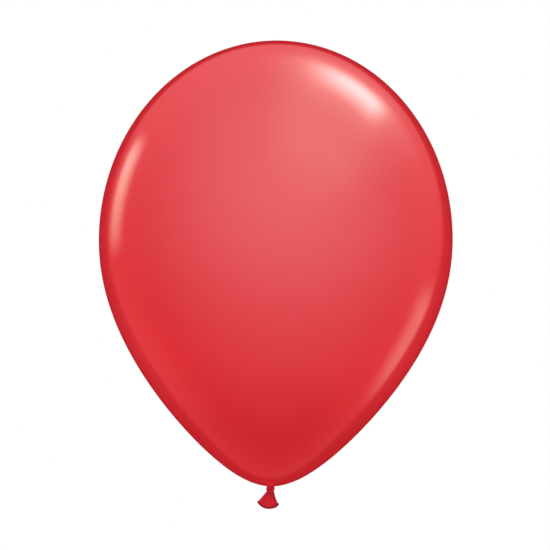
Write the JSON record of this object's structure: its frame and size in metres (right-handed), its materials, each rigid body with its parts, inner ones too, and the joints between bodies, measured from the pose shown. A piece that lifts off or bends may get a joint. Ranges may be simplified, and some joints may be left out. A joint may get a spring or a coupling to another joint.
{
  "type": "latex balloon",
  "caption": "Inflated red latex party balloon, a rounded tear-drop tied with an overhand knot in its neck, ending in a short flared tail with a rolled lip.",
  "frame": {"origin": "on the balloon's axis, at the waist of the gathered neck between the envelope and the knot, where a ribbon is tied", "axes": "+Z runs from the neck up to the crown, -Z down through the knot to the tail; the tail is flattened in the XZ plane and leans towards -X; -Y is the side seen in the picture"},
  "size_m": [0.2799, 0.28, 0.3708],
  "materials": {
    "latex_film": "stretched glossy latex film",
    "latex_gathered": "gathered, folded latex, satin",
    "latex_tail": "unstretched latex, satin",
    "latex_bead": "rolled latex, satin"
  },
  "bodies": {
    "envelope": {"envelope": "latex_film"},
    "neck": {"neck": "latex_gathered"},
    "knot": {"knot_standing": "latex_gathered", "knot_loop": "latex_gathered", "knot_tuck": "latex_gathered"},
    "tail_root": {"tail_root": "latex_gathered"},
    "tail": {"tail": "latex_tail", "lip_bead": "latex_bead"}
  },
  "joints": [
    {"name": "neck_sway", "type": "hinge", "parent": "envelope", "child": "neck", "pos_m": [0, 0, 0], "axis": [0, 1, 0], "range_deg": [-15, 15], "stiffness_Nm_per_rad": 0.003, "deforming": ["neck"]},
    {"name": "neck_nod", "type": "hinge", "parent": "neck", "child": "knot", "pos_m": [0, 0, 0], "axis": [1, 0, 0], "range_deg": [-15, 15], "stiffness_Nm_per_rad": 0.003, "deforming": ["neck"]},
    {"name": "tail_sway", "type": "hinge", "parent": "knot", "child": "tail_root", "pos_m": [0, 0, -0.0048], "axis": [0, 1, 0], "range_deg": [-45, 35], "stiffness_Nm_per_rad": 0.001, "deforming": ["tail_root"]},
    {"name": "tail_nod", "type": "hinge", "parent": "tail_root", "child": "tail", "pos_m": [0, 0, -0.0075], "axis": [1, 0, 0], "range_deg": [-60, 60], "stiffness_Nm_per_rad": 0.001, "deforming": ["tail_root"]}
  ]
}
